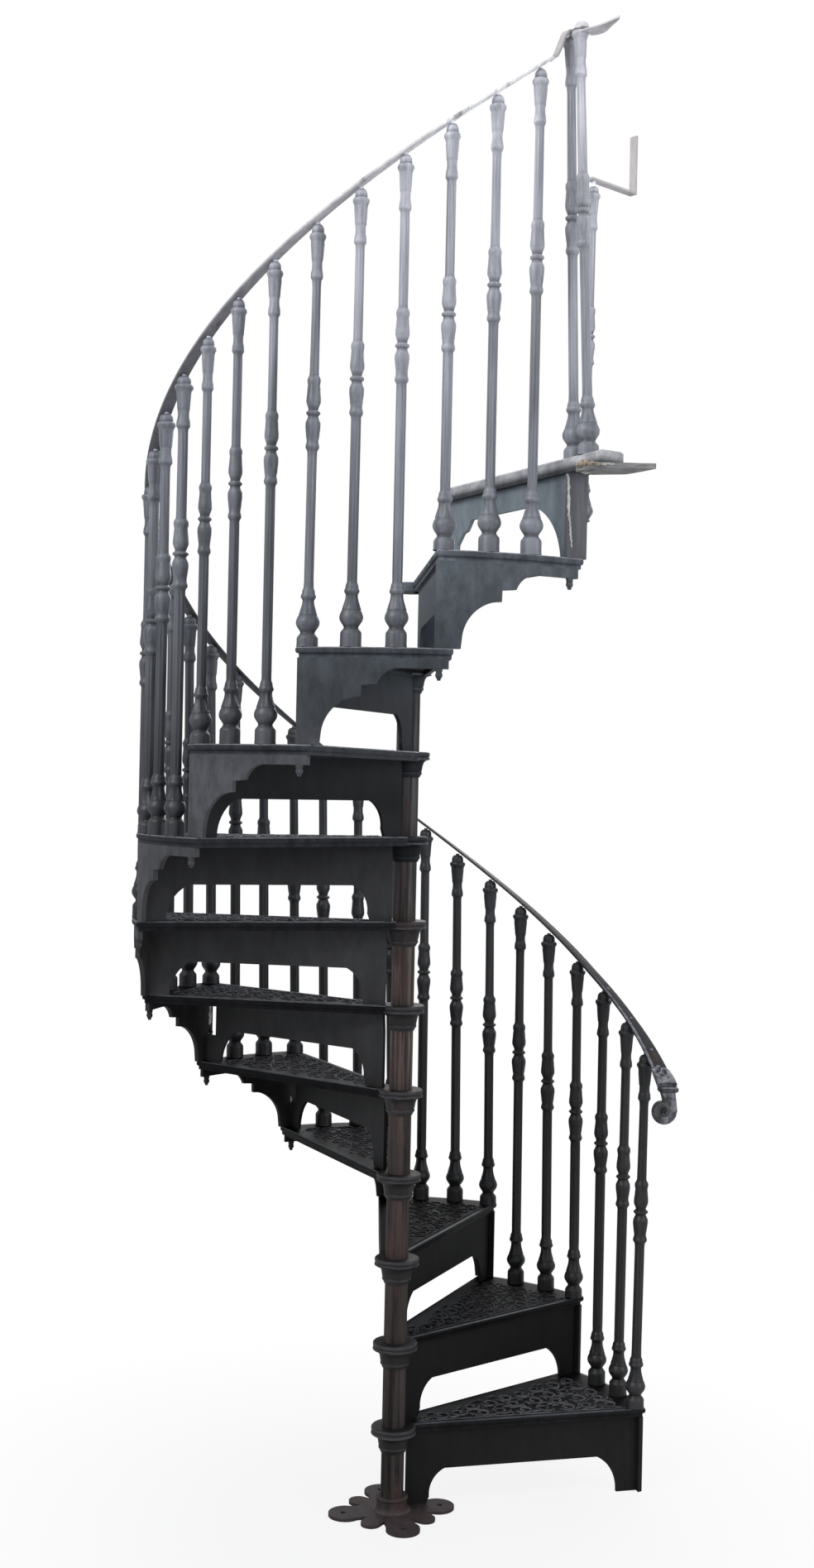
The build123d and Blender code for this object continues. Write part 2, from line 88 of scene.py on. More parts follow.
class Graph:
    """The node tree of a material or a world, with short ways to add nodes and link them."""

    def __init__(self, owner):
        owner.use_nodes = True
        self.nodes, self.links = owner.node_tree.nodes, owner.node_tree.links
        self.nodes.clear()

    def add(self, kind, inputs=(), **settings):
        """Adds a node; inputs maps its sockets to values or to other nodes' outputs."""
        node = self.nodes.new("ShaderNode" + kind)
        for name, value in settings.items():
            setattr(node, name, value)
        for key, value in dict(inputs).items():
            if isinstance(value, bpy.types.NodeSocket):
                self.links.new(value, node.inputs[key])
            else:
                node.inputs[key].default_value = value
        return node

    def noise(self, coord, scale, detail, rough, stretch=None):
        if stretch:
            coord = self.add("Mapping", {0: coord, "Scale": stretch}).outputs[0]
        inputs = {"Vector": coord, "Scale": scale, "Detail": detail, "Roughness": rough}
        return self.add("TexNoise", inputs).outputs["Fac"]

    def ramp(self, fac, stops):
        """A colour ramp from (position, colour) pairs; a plain number is a grey."""
        node = self.add("ValToRGB", {0: fac})
        elements = node.color_ramp.elements
        while len(elements) < len(stops):
            elements.new(0.5)
        for element, (position, colour) in zip(elements, stops):
            element.position = position
            element.color = (*colour, 1) if isinstance(colour, tuple) else (*[colour] * 3, 1)
        return node.outputs[0]

    def mix(self, fac, a, b, kind="MIX"):
        node = self.add("Mix", data_type="RGBA", blend_type=kind)
        for socket, value in ((0, fac), (6, a), (7, b)):
            if isinstance(value, bpy.types.NodeSocket):
                self.links.new(value, node.inputs[socket])
            else:
                node.inputs[socket].default_value = (*value, 1) if socket else value
        return node.outputs[2]

    def times(self, a, b):
        return self.mix(1.0, a, b, "MULTIPLY")


def srgb(v):
    return tuple(((c / 255 + 0.055) / 1.055) ** 2.4 if c > 10 else c / 255 / 12.92 for c in v)


def iron(name, stops, rough=(0.38, 0.62), spec=0.25, rust=0.0, bump=0.12, wear_and_light=1.0, broad=0.12,
         streak=0.4, span=(0.3, 0.72), flow=(1, 1, 0.12), grain=30.0):
    """Old painted cast iron: colour by height with painted light, patches, streaks, worn edges and
    a little rust.

    stops are (height, colour) pairs, and rough the least and greatest roughness. broad and
    streak are the depths of the patches and streaks; span sets how sharp the streaks are, flow
    which way they run and grain how fine they are. wear lightens edges, as worn paint and as a
    painted highlight, and darkens each hollow with painted shade; rust adds patches.
    """
    mat = bpy.data.materials.new(name)
    graph = Graph(mat)
    coord = graph.add("TexCoord").outputs["Object"]
    height = graph.add("SeparateXYZ", {0: coord}).outputs[2]
    share = graph.add("MapRange", {0: height, "From Min": 0.0, "From Max": FULL}).outputs[0]
    base = graph.ramp(share, [(z / FULL, srgb(colour)) for z, colour in stops])
    patches = graph.noise(coord, *PATCHES)
    fine = graph.noise(coord, *GRAIN)
    streaks = graph.noise(coord, grain, 6.0, 0.65, flow)
    base = graph.times(base, graph.ramp(patches, [(0.3, 1 - broad), (0.7, 1 + broad)]))
    base = graph.times(base, graph.ramp(streaks, [(span[0], 1 - streak), (span[1], 1 + streak)]))
    # painted light from the mesh: a painted highlight where the shape stands proud, painted shade
    # in its grooves
    painted_light = graph.add("Attribute", attribute_name="painted_light").outputs["Fac"]
    lift = graph.add("Math", {0: painted_light, 1: CREASE, 2: 1.0}, operation="MULTIPLY_ADD")
    base = graph.times(base, lift.outputs[0])
    if wear_and_light:
        # sharp edges lighten as worn paint and as a painted highlight, and each hollow darkens
        # with painted shade
        bend = graph.add("NewGeometry").outputs["Pointiness"]
        edges = graph.ramp(bend, [(EDGES[0], 0.0), (EDGES[1], 1.0)])
        hollow_shade = graph.ramp(bend, [(HOLLOWS[0], 0.35), (HOLLOWS[1], 1.0)])
        base = graph.times(base, hollow_shade)
        pale = graph.times(base, (1 + wear_and_light, 1 + wear_and_light, 1 + wear_and_light * 1.05))
        speckle = graph.ramp(fine, [(0.35, 0.25), (0.65, 0.9)])
        worn = graph.add("Math", {0: edges, 1: speckle}, operation="MULTIPLY")
        base = graph.mix(worn.outputs[0], base, pale)
    if rust:
        spots = graph.noise(coord, *SPOTS, (1, 1, 0.3))
        where = graph.ramp(spots, [(0.60 - 0.22 * rust, 0.0), (0.70 - 0.1 * rust, 1.0)])
        base = graph.mix(where, base, graph.mix(fine, srgb(RUST_DARK), srgb(RUST_PALE)))
    gloss = graph.add("MapRange", {0: patches, "To Min": rough[0], "To Max": rough[1]})
    skin = graph.add("Bump", {"Strength": bump, "Distance": 0.002, "Height": fine})
    shader = graph.add("BsdfPrincipled", {
        "Base Color": base, "Roughness": gloss.outputs[0], "Specular IOR Level": spec,
        "Normal": skin.outputs[0],
    })
    graph.add("OutputMaterial", {0: shader.outputs[0]})
    return mat


def even(*colour):
    """The stops of a paint that has one colour all over."""
    return [(0, colour), (FULL, colour)]


# paint colours by height, with painted light: dark low down and pale towards the top, where the
# daylight haze washes the stair out; the one-colour paints of the parts up there carry the same
# painted haze
RISER = [(0, (31, 31, 32)), (0.3, (22, 22, 23)), (0.85, (20, 20, 21)), (1.05, (38, 38, 39)),
         (1.2, (54, 54, 55)), (1.42, (68, 68, 69)), (1.65, (54, 54, 56)), (1.85, (24, 26, 29)),
         (2.1, (48, 51, 56)), (2.3, (72, 78, 85)), (2.38, (90, 96, 103)), (2.44, (140, 150, 158)),
         (FULL, (142, 148, 156))]
BRACKET = [(0, (27, 27, 28)), (1.1, (36, 36, 37)), (1.5, (62, 62, 64)), (1.9, (80, 80, 85)),
           (2.05, (60, 63, 68)), (2.25, (76, 82, 88)), (2.6, (102, 108, 114)),
           (FULL, (120, 126, 132))]
TOP = [(0, (25, 25, 26)), (0.25, (22, 22, 23)), (0.42, (13, 13, 13)), (0.7, (6, 6, 6)),
       (1.0, (10, 10, 11)), (1.5, (22, 22, 24)), (2.0, (46, 48, 52)), (2.4, (78, 82, 88)),
       (2.8, (112, 116, 122)), (FULL, (124, 128, 136))]
RELIEF = [(0, (66, 66, 68)), (0.25, (62, 62, 64)), (0.42, (44, 44, 45)), (0.7, (27, 27, 28)),
          (1.0, (46, 46, 49)), (1.5, (66, 66, 70)), (2.0, (92, 94, 99)), (2.4, (118, 121, 127)),
          (FULL, (140, 144, 150))]
# painted highlight: the nosing's lip is paler, as the sky's reflection runs along its rounded top
LIP_HIGHLIGHT = [(0, (46, 50, 57)), (0.9, (46, 48, 52)), (1.3, (74, 76, 80)), (1.6, (88, 90, 95)),
       (2.2, (116, 119, 125)), (2.8, (150, 152, 158)), (FULL, (156, 158, 164))]
SHAFT = [(0, (42, 42, 43)), (1.2, (47, 47, 49)), (1.8, (60, 61, 65)), (2.1, (84, 86, 92)),
         (2.3, (108, 111, 118)), (2.75, (142, 145, 153)), (3.1, (172, 173, 182)),
         (3.4, (196, 197, 206)), (FULL, (204, 204, 214))]
SLEEVE = [(0, (42, 37, 36)), (0.2, (46, 40, 39)), (0.35, (52, 44, 43)), (0.6, (52, 44, 43)),
          (0.8, (58, 47, 47)), (0.96, (50, 43, 43)), (1.1, (76, 65, 63)), (1.24, (94, 81, 78)),
          (1.46, (92, 81, 79)), (1.7, (84, 81, 82)), (2.2, (66, 67, 72)), (3.0, (80, 84, 90))]
COLLAR = [(0, (34, 33, 34)), (1.6, (40, 39, 41)), (2.2, (50, 53, 58)), (3.0, (90, 94, 100))]
RAIL = [(0, (42, 42, 44)), (1.3, (48, 48, 51)), (1.8, (64, 64, 68)), (2.3, (90, 90, 95)),
        (2.8, (130, 130, 136)), (3.0, (160, 159, 165)), (3.2, (228, 226, 230)),
        (3.4, (248, 247, 249)), (FULL, (248, 248, 248))]
WORN = [(0, (104, 103, 110)), (1.4, (104, 103, 110)), (2.4, (150, 148, 152)),
        (FULL, (186, 178, 180))]
SOCKET = [(0, (92, 92, 98)), (1.4, (92, 92, 98)), (FULL, (186, 178, 180))]
BROWN = [(0, (70, 60, 54)), (FULL, (90, 78, 70))]
TIE = [(0, (190, 187, 188)), (3.42, (168, 167, 170)), (3.55, (200, 197, 199)),
       (FULL, (214, 208, 206))]
# painted highlight: the landing edge turns pale near 2.64 m, where its top catches the light
LANDING_EDGE = [(0, (66, 68, 72)), (2.622, (66, 68, 72)), (2.634, (78, 80, 84)),
                (2.6415, (196, 196, 200)), (FULL, (196, 196, 200))]
RUST_LUMP = [(0, (150, 134, 118)), (FULL, (186, 170, 152))]
# the pale of the flakes, also used for a painted glint on the lug
FLAKE_AND_GLINT = [(0, (128, 128, 126)), (FULL, (226, 225, 221))]
ALL_WAYS = (1, 1, 1)                # a flow with no direction
CLEAR, SHARP = (0.38, 0.64), (0.41, 0.60)       # spans of clear and of sharp streaks

paint = iron("painted_iron", RISER, rough=(0.5, 0.7), spec=0.18, bump=0.15, wear_and_light=0.0,
             broad=0.14, streak=0.16, span=(0.36, 0.66), flow=(1, 1, 0.4))
string_paint = iron("bracket_iron", BRACKET, rough=(0.45, 0.7), spec=0.2, bump=0.25, wear_and_light=0.0,
                    broad=0.18, streak=0.24, span=CLEAR, flow=(1, 1, 0.5))
paint_top = iron("tread_iron", TOP, spec=0.08, bump=0.3)
relief_paint = iron("worn_relief", RELIEF, rough=(0.35, 0.55), spec=0.08, bump=0.3, wear_and_light=0.8,
                    streak=0.45, span=CLEAR, flow=ALL_WAYS)
lip_highlight_paint = iron("nosing_painted_highlight", LIP_HIGHLIGHT, rough=(0.35, 0.55), spec=0.35, bump=0.3, wear_and_light=0.4,
                 span=(0.36, 0.66), flow=ALL_WAYS)
shaft_paint = iron("baluster_iron", SHAFT, rough=(0.3, 0.5), spec=0.4, bump=0.15, wear_and_light=1.6,
                   span=CLEAR, flow=(1, 1, 0.05))
sleeve_paint = iron("sleeve_iron", SLEEVE, rough=(0.5, 0.75), rust=0.45, bump=0.3, wear_and_light=0.0,
                    streak=0.72, span=SHARP, flow=(1, 1, 0.03), grain=58.0)
collar_paint = iron("collar_iron", COLLAR, rough=(0.4, 0.65), spec=0.3, rust=0.3, bump=0.3,
                    wear_and_light=1.2)
flange_paint = iron("flange_iron", even(60, 52, 53), rough=(0.5, 0.75), rust=0.35, bump=0.4,
                    wear_and_light=0.0)
rail_paint = iron("rail_iron", RAIL, rust=0.1, bump=0.25, wear_and_light=0.0, streak=0.25)
cast_pale = iron("worn_iron", WORN, rough=(0.35, 0.6), spec=0.4, bump=0.5, wear_and_light=0.9,
                 streak=0.35, span=CLEAR, flow=ALL_WAYS)
socket_paint = iron("socket_iron", SOCKET, rough=(0.3, 0.55), spec=0.5, bump=0.6, wear_and_light=1.2,
                    streak=0.62, span=SHARP, flow=(1, 1, 0.6), grain=70.0)
# painted shade: the volute's roll is dark where it curls into its own shadow
volute_shade_paint = iron("volute_painted_shade", even(56, 56, 58), rough=(0.3, 0.5), spec=0.5, bump=0.4,
                    wear_and_light=1.2, streak=0.5, span=SHARP, flow=(1, 1, 0.6), grain=60.0)
brown = iron("rusty_paint", BROWN, rough=(0.6, 0.8), spec=0.15, bump=0.6, wear_and_light=0.0, streak=0.3,
             flow=ALL_WAYS)
leaf_paint = iron("leaf_iron", even(222, 219, 223), rough=(0.4, 0.6), spec=0.3, bump=0.3,
                  wear_and_light=0.4, streak=0.16, flow=ALL_WAYS)
tie_paint = iron("pale_tie_iron", TIE, rough=(0.5, 0.7), spec=0.2, bump=0.3, wear_and_light=0.0,
                 streak=0.14, flow=(1, 1, 0.4))
edge_paint = iron("landing_edge_iron", LANDING_EDGE, bump=0.3, wear_and_light=0.0, streak=0.25,
                  span=CLEAR, flow=ALL_WAYS)
leg_paint = iron("landing_leg_iron", even(104, 106, 112), rough=(0.5, 0.7), bump=0.3, wear_and_light=0.0,
                 broad=0.1, streak=0.3, span=CLEAR, flow=(1, 1, 0.1))
lug_paint = iron("lug_iron", even(142, 141, 141), bump=0.4, wear_and_light=0.0, streak=0.3, span=CLEAR,
                 flow=(1, 1, 8))
rust_lump = iron("rust_scale", RUST_LUMP, rough=(0.7, 0.9), spec=0.1, bump=0.9, wear_and_light=0.0,
                 streak=0.4, span=CLEAR, flow=ALL_WAYS, grain=80.0)
flake_and_glint_paint = iron("flaked_paint_and_glint", FLAKE_AND_GLINT, rough=(0.6, 0.8), spec=0.2, bump=0.6, wear_and_light=0.0, streak=0.35,
            span=CLEAR, flow=ALL_WAYS)

# what the CAD nodes wear, by the start of their names; all others have the plain paint
COATS = (
    ("landing_edge", edge_paint), ("landing_lug", lug_paint), ("landing_leg", leg_paint),
    ("string_brackets", string_paint), ("newel_column", sleeve_paint),
    ("base_flange", flange_paint), ("wall_tie", tie_paint), ("handrail", rail_paint),
    ("rail", rail_paint),
)
for name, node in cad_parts.items():
    coat = next((material for start, material in COATS if name.startswith(start)), paint)
    if not node.data.materials:
        node.data.materials.append(coat)
    for slot in node.material_slots:
        slot.material = coat


# ------------------------------------------------------------------ mesh helpers
def rings_to_mesh(rings, closed=True, caps=True):
    """Quads between rings of points; returns vertices and faces."""
    rings = np.asarray(rings)
    n, m, _ = rings.shape
    verts = rings.reshape(-1, 3)
    faces = []
    for i in range(n - 1):
        for j in range(m if closed else m - 1):
            k = (j + 1) % m
            faces.append((i * m + j, i * m + k, (i + 1) * m + k, (i + 1) * m + j))
    if caps:
        faces.append(tuple(range(m - 1, -1, -1)))
        faces.append(tuple((n - 1) * m + j for j in range(m)))
    return verts, faces


def wide(verts, painted_light=0.0):
    """Adds a fourth column of painted light: above 0 for a painted highlight where a point stands
    proud, below 0 for painted shade in a groove.
    """
    verts = np.asarray(verts, float)
    if verts.shape[1] == 4:
        return verts
    return np.column_stack([verts, np.broadcast_to(painted_light, len(verts))])


def join(parts):
    verts, faces, base = [], [], 0
    for v, f in parts:
        v = wide(v)
        verts.append(v)
        faces.extend(tuple(base + i for i in face) for face in f)
        base += len(v)
    return np.vstack(verts), faces


def piece(name, groups, replaces=()):
    """One mesh object from groups of (parts, material)."""
    verts, faces, marks, base = [], [], [], 0
    for index, (parts, _) in enumerate(groups):
        v, f = join(parts)
        verts.append(v)
        faces.extend(tuple(base + i for i in face) for face in f)
        marks.extend([index] * len(f))
        base += len(v)
    mesh = bpy.data.meshes.new(name)
    verts = np.vstack(verts)
    mesh.from_pydata(verts[:, :3].tolist(), [], faces)
    mesh.attributes.new("painted_light", "FLOAT", "POINT").data.foreach_set("value", verts[:, 3])
    for _, material in groups:
        mesh.materials.append(material)
    mesh.polygons.foreach_set("material_index", marks)
    mesh.update()
    mesh.shade_smooth()
    mesh.set_sharp_from_angle(angle=radians(40.0))
    ob = bpy.data.objects.new(name, mesh)
    scene.collection.objects.link(ob)
    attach(ob, "root")
    if replaces:
        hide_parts(*replaces)


def flipped(faces):
    return [face[::-1] for face in faces]


def proud(line, spread, depth):
    """How far each point of a turned outline stands out from the smoothed one, over the depth."""
    z, r = np.array(line, float).T
    order = np.argsort(z, kind="stable")
    grid = np.arange(z.min(), z.max() + 1, 1.0)
    flat = np.interp(grid, z[order], r[order])
    weights = [np.exp(-0.5 * ((grid - height) / spread) ** 2) for height in z]
    return (r - np.array([(flat * w).sum() / w.sum() for w in weights])) / depth


def circle(count):
    return np.arange(count) * 2 * pi / count


def turned(line, place=(0, 0, 0), sides=32):
    """A turned shape from (height, radius) pairs, standing at a place."""
    theta = circle(sides)
    # painted light: a painted highlight on proud rings, painted shade in grooves
    painted_light = np.repeat(np.clip(proud(line, 6.0, 3.0), -0.9, 1.0), sides)
    rings = [np.column_stack([r * np.cos(theta), r * np.sin(theta), np.full(sides, z)])
             for z, r in line]
    verts, faces = rings_to_mesh(np.array(rings) / 1000)
    return wide(verts + np.asarray(place), painted_light), faces


def placed(verts, angle, height):
    """Turns a shape about the newel and lifts it."""
    c, s = cos(radians(angle)), sin(radians(angle))
    out = verts.copy()
    out[:, 0], out[:, 1] = verts[:, 0] * c - verts[:, 1] * s, verts[:, 0] * s + verts[:, 1] * c
    out[:, 2] += height
    return out


def thin_line(points, tolerance):
    """Drops points that lie within the tolerance of a straight run."""
    keep = [0, len(points) - 1]
    stack = [(0, len(points) - 1)]
    while stack:
        a, b = stack.pop()
        if b - a < 2:
            continue
        run = points[b] - points[a]
        rel = points[a + 1:b] - points[a]
        off = abs(run[0] * rel[:, 1] - run[1] * rel[:, 0]) / (np.hypot(*run) + 1e-12)
        worst = int(off.argmax())
        if off[worst] > tolerance:
            keep.append(a + 1 + worst)
            stack += [(a, a + 1 + worst), (a + 1 + worst, b)]
    return points[sorted(keep)]


def soften(points):
    """Rounds the corners of a turned outline as a casting does, then drops spare points."""
    step, blur, reach = 0.8, 1.1, 6
    p = np.array(points, float)
    s = np.concatenate([[0], np.cumsum(np.hypot(*np.diff(p, axis=0).T))])
    t = np.arange(0, s[-1], step)
    q = np.column_stack([np.interp(t, s, p[:, 0]), np.interp(t, s, p[:, 1])])
    k = np.exp(-0.5 * (np.arange(-reach, reach + 1) * step / blur) ** 2)
    k /= k.sum()
    pad = np.vstack([q[:1]] * reach + [q] + [q[-1:]] * reach)
    r = np.column_stack([np.convolve(pad[:, i], k, "valid") for i in (0, 1)])
    r[0], r[-1] = p[0], p[-1]
    return thin_line(r, 0.06)


# ------------------------------------------------------------------ balusters
# heights from the capital's rim, from the middle disc and from the ball at the foot
CAPITAL = [(27, 0), (27, 6), (24, 11), (20, 14.6), (16, 16.6), (8, 17.2), (4.5, 17.6), (3, 21.4),
           (0, 22.8), (-4, 23.2), (-8, 20.6), (-12, 18.9), (-16, 18.1), (-20, 17.5), (-28, 16.6),
           (-36, 15.8), (-44, 15.2), (-52, 14.4), (-60, 14.0), (-68, 13.8), (-76, 14.3),
           (-80, 15.7), (-84, 16.5), (-92, 17.2), (-96, 17.0), (-99, 14.0), (-103, 12.6),
           (-120, 12.3)]
KNOP = [(92, 12.8), (86, 13.4), (83, 15.4), (79, 17.9), (74, 18.6), (70, 18), (66, 17),
        (62, 16.4), (54, 16.5), (46, 17.0), (38, 18.0), (32, 18.4), (26, 18.4), (22, 18.2),
        (18, 17.0), (14, 14.9), (10, 13.6), (7, 13.8), (5, 16.6), (3, 19.4), (0, 20), (-3, 17),
        (-5, 14), (-8, 14.4), (-12, 16.2), (-17, 18.2), (-22, 19.0), (-30, 19.2), (-38, 18.2),
        (-46, 17.2), (-54, 16.4), (-62, 16.2), (-66, 16.6), (-70, 18.2), (-74, 19.0),
        (-78, 18.8), (-81, 16), (-85, 13.9)]
BASE = [(80, 13.8), (77, 14.8), (74, 16.8), (68, 17.5), (65, 17.9), (62, 19.4), (59, 20.0),
        (56, 19.0), (53, 15.9), (50, 14.6), (44, 14.8), (38, 15.6), (32, 17.2), (26, 18.8),
        (20, 20.8), (17.5, 21.6), (15.8, 20.8), (14, 22.8), (11, 24), (7, 25.6), (3, 26.8),
        (-1, 27), (-5, 26.3), (-9, 24.6), (-13, 22), (-17, 19.2), (-20, 17.0), (-23, 16.3),
        (-26, 17.6), (-29, 20.4), (-32, 22.8), (-34, 23.8), (-37, 24.2), (-41, 24.2)]
DOME = 27                           # height of the capital's dome above its rim
LOWER_SHAFT = 13.5
SIDES, FLUTES = 32, 8
LEAVES, LEAF_DEPTH = 6, 1.6
SHORT_BALL, TALL_BALL = 55.5, 67.0  # heights of the ball at the foot
FIRST_KNOP, THIRD = 528, 220 / 3    # middle disc of the short baluster; a third of the rise
UPPER_LEVEL, UPPER_GIRTH = 9, 0.83  # from this level on the balusters are slimmer
# heads that lean away from their places, mm along x, by the baluster's number from the foot
HEAD_SHIFT = {0: 9, 1: 4, 2: -3, 3: -8, 4: -12, 5: -8, 6: -5, 7: -5, 9: -5, 11: -7, 27: 5, 28: 3}


def outline(ball, knop, rim, crown, slim):
    """The turned outline, from the crown down; a slim one ends in a spigot instead of a foot."""
    pts = [(z + rim, r) for z, r in CAPITAL if z < crown]
    if crown < DOME:
        pts = [(rim + crown, 0), (rim + crown, 12)] + pts
    pts += [(z + knop, r) for z, r in KNOP]
    pts += [(knop - 100, LOWER_SHAFT), (ball + 100, LOWER_SHAFT)]
    pts += [(z + ball, r) for z, r in BASE if z + ball > (26 if slim else 8)]
    pts += [(24, 12), (14, 10.5), (0, 10)] if slim else [(6, 24.2), (3, 24.8), (0, 24.8)]
    return soften(pts)


def leaf_swell(z, theta, low, high):
    """Raised pointed leaves round a bulge, tips up."""
    t = (z - low) / (high - low)
    if not 0 < t < 1:
        return np.zeros_like(theta)
    turn = 2 * pi / LEAVES
    rel = (theta + turn / 2) % turn - turn / 2
    half = turn * 0.47 * sqrt(max(1e-4, 1 - t * t))
    body = np.clip(1 - (rel / half) ** 2, 0, 1) ** 0.6
    rib = np.exp(-((rel / (turn * 0.07)) ** 2))
    return LEAF_DEPTH * (body - 0.35 * rib) * min(1.0, 8 * t) * min(1.0, 6 * (1 - t))


def baluster_mesh(ball, knop, rim, crown=DOME, pin=29, slim=False, girth=1.0):
    """One baluster; above its ball its radius is multiplied by the girth."""
    line = outline(ball, knop, rim, crown, slim)
    theta = circle(SIDES)
    flute = 0.5 + 0.5 * np.cos(FLUTES * theta)
    order = np.argsort(-line[:, 0], kind="stable")[::-1]
    carved = ((rim - 58, rim - 12), (knop + 18, knop + 64), (knop - 62, knop - 14),
              (ball + 16, ball + 50))
    more = [(z, np.interp(z, line[order, 0], line[order, 1]))
            for low, high in carved for z in np.arange(low, high, 4.0)]
    line = np.vstack([line, more])
    line = line[np.argsort(-line[:, 0], kind="stable")]
    # fluted lengths, with how far the flutes start inside the outline and how deep they are
    fluted = ((knop + 95, rim - 106, 1.9, 2.3), (ball + 84, knop - 88, 2.1, 2.7),
              (ball + 16, ball + 52, 1.4, 2.2))
    rings, painted_lights = [], []
    for (z, r), out in zip(line, proud(line, 4.5, 1.0)):
        rr = np.full(SIDES, r)
        for low, high, inside, depth in fluted:
            if low < z < high:
                rr = r - inside + depth * flute
        rr = rr + leaf_swell(z, theta, rim - 60, rim - 12)
        rr = rr + leaf_swell(z, theta, knop + 20, knop + 66)
        rr = rr + leaf_swell(knop * 2 - 76 - z, theta, knop - 62, knop - 14)
        rr = rr * (1 + (girth - 1) * min(1.0, max(0.0, (z - ball - 30) / 40)))
        # painted light: painted highlight on proud rings and flute ridges, painted shade in
        # grooves and flute hollows
        painted_light = np.clip(out / 1.5, -0.95, 0.35) + (rr - rr.mean()) / 1.7
        painted_lights.append(np.clip(painted_light, -0.95, 1.2))
        rings.append(np.column_stack([rr * np.cos(theta), rr * np.sin(theta), np.full(SIDES, z)]))
    body, faces = rings_to_mesh(np.array(rings) / 1000, caps=False)
    parts = [(wide(body, np.concatenate(painted_lights)), faces)]
    if pin > crown:
        parts.append(turned([(rim + crown - 4, 5.4), (rim + pin, 5.4)], sides=12))
    return join(parts)


def lean(casting, foot, head, angle):
    """Turns a casting, stands it on its foot and leans it towards its head."""
    verts, faces = casting
    out = placed(verts, angle, foot[2])
    share = verts[:, 2] / (head[2] - foot[2])
    out[:, 0] += foot[0] + (head[0] - foot[0]) * share
    out[:, 1] += foot[1] + (head[1] - foot[1]) * share
    return out, faces


for index, kind in enumerate(("short", "medium", "tall")):
    ball, rim = (SHORT_BALL if index == 0 else TALL_BALL), RIM * 1000 + index * THIRD
    lower, upper = (baluster_mesh(ball, FIRST_KNOP + index * THIRD, rim, girth=girth)
                    for girth in (1.0, UPPER_GIRTH))
    parts = []
    for level in range(1, COUNT + 1):
        turn = BAL_FIRST + index * SPACING
        foot = polar(RAIL_R, nosing(level) + turn, top_of(level))
        head = polar(RAIL_R, regular(level) + turn, top_of(level) + rim / 1000)
        head[0] += HEAD_SHIFT.get((level - 1) * 3 + index, 0) / 1000
        casting = upper if level >= UPPER_LEVEL else lower
        parts.append(lean(casting, foot, head, regular(level) + turn))
    piece("baluster_castings_" + kind, [(parts, shaft_paint)],
          ["balusters_" + kind])

# the two posts of the landing and the one that stands at the wall behind
POST = (SHORT_BALL, 555.5, 961.5)   # ball, middle disc and rim
POST_TOP, POST_ANGLE = POST[2] / 1000, 20.0
inner = polar(RAIL_R + 0.003, OUT + 2.6, LANDING)
outer = polar(RAIL_R + 0.069, OUT + 2.4, LANDING) - np.array([0.006, 0, 0])
wall = polar(RAIL_R + 0.007, 41.9, LANDING - 0.0135) - np.array([0.021, 0, 0])
inner_head = inner + np.array([-0.026, 0.016, POST_TOP])
outer_head = outer + np.array([-0.038, 0.016, POST_TOP])
wall_head = wall + np.array([0.009, 0, POST_TOP])
gap = np.linalg.norm((outer_head - inner_head)[:2])
DIP = 0.2                           # fall of the strap over the two posts
parts = [
    lean(baluster_mesh(*POST, crown=13, pin=5.2 + 1000 * DIP * gap, girth=0.84),
         inner, inner_head, POST_ANGLE),
    lean(baluster_mesh(*POST, crown=3.4, pin=3.4, girth=0.84), outer, outer_head, POST_ANGLE),
    lean(baluster_mesh(*POST, pin=41, slim=True, girth=0.9), wall, wall_head, POST_ANGLE),
]
piece("baluster_castings_landing", [(parts, shaft_paint)], ["balusters_landing"])

# ------------------------------------------------------------------ handrail
RAIL_START, SCROLL_TURN = FIRST - 3.4, FIRST - 7.9
RAIL_END = regular(COUNT) + BAL_FIRST + 2 * SPACING + 2.75
SLOPE = RISE / (radians(STEP) * RAIL_R)
THICK = 0.0062                      # the dressed bar, a little over the solid's thickness
BARS = ["handrail_lower", "handrail_middle", "handrail_upper"]


def rail_base(turn):
    return FIRST_RISE + RIM + RAIL_LIFT + (turn - FIRST - BAL_FIRST) / STEP * RISE


def rail_middle(turn):
    """Radius of the bar's middle, which swings out towards the scroll."""
    return RAIL_R + max(0.0, 38.0 - turn) * 0.001


def rail_breadth(turn):
    """Breadth of the bar, which widens towards the scroll."""
    return RAIL_W + max(0.0, 24.0 - turn) * 0.0009


def axes(turn):
    """Across, up and along directions of the bar."""
    a = radians(turn)
    side = np.array([cos(a), sin(a), 0])
    along = np.array([-sin(a), cos(a), SLOPE])
    along /= np.linalg.norm(along)
    return side, np.cross(side, along), along


def on_rail(turn, off, lift):
    """A point off the bar's middle line, lifted from its underside."""
    return polar(rail_middle(turn) + off, turn, rail_base(turn)) + axes(turn)[1] * lift


def bar_ring(centre, side, up, width, thick):
    """A flat bar's section with rounded corners and a slightly crowned top."""
    w, t = width / 2, thick / 2
    r = min(0.0022, thick * 0.4)
    q, crown = r * 0.3, t + 0.0006
    flat = [(-w + r, -t), (w - r, -t), (w - q, -t + q), (w, -t + r), (w, t - r), (w - q, t - q),
            (w - r, t), (w * 0.4, crown), (-w * 0.4, crown), (-w + r, t), (-w + q, t - q),
            (-w, t - r), (-w, -t + r), (-w + q, -t + q)]
    return [centre + side * a + up * b for a, b in flat]


def oval_ring(centre, side, up, width, thick, power):
    """A rounded-box section; the power sets how square it is."""
    ring = []
    for a in circle(20):
        c, s = cos(a), sin(a)
        across = width / 2 * abs(c) ** power * (1 if c > 0 else -1)
        height = thick / 2 * abs(s) ** power * (1 if s > 0 else -1)
        ring.append(centre + side * across + up * height)
    return ring


